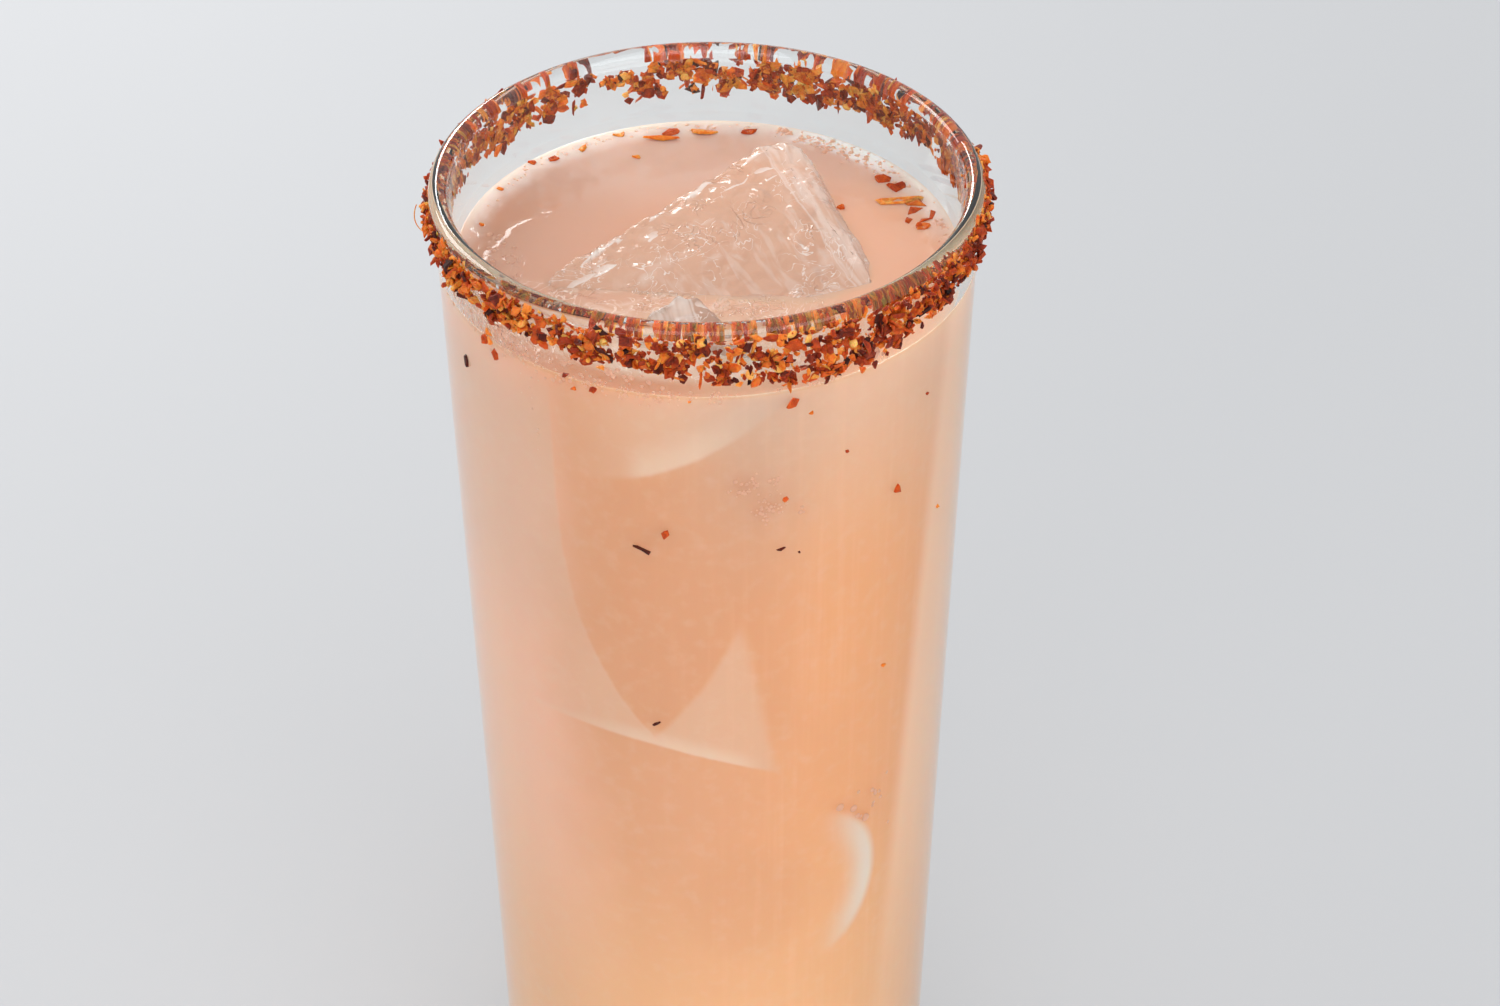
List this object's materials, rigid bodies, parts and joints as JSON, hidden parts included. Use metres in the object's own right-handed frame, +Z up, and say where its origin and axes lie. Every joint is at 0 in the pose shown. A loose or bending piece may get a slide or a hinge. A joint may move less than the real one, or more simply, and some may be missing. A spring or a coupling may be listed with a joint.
{
  "type": "paloma cocktail",
  "caption": "Tall tapered clear glass filled with a cloudy pink drink and clear ice, its rounded lip crusted on the outside with chilli flakes.",
  "frame": {"origin": "centre of the glass's base, on the surface it stands on", "axes": "+Z up along the glass's axis; the picture's camera side is -Y, +X is to the picture's right"},
  "size_m": [0.0684, 0.0684, 0.165],
  "materials": {
    "glass": "clear, polished",
    "chilli": "dry and translucent, uneven",
    "drink": "wet, cloudy",
    "ice": "clear, wet",
    "foam": "wet bubbles"
  },
  "bodies": {
    "root": {"glass": "glass", "drink": "drink", "ice_large": "ice", "ice_small": "ice"}
  },
  "joints": []
}
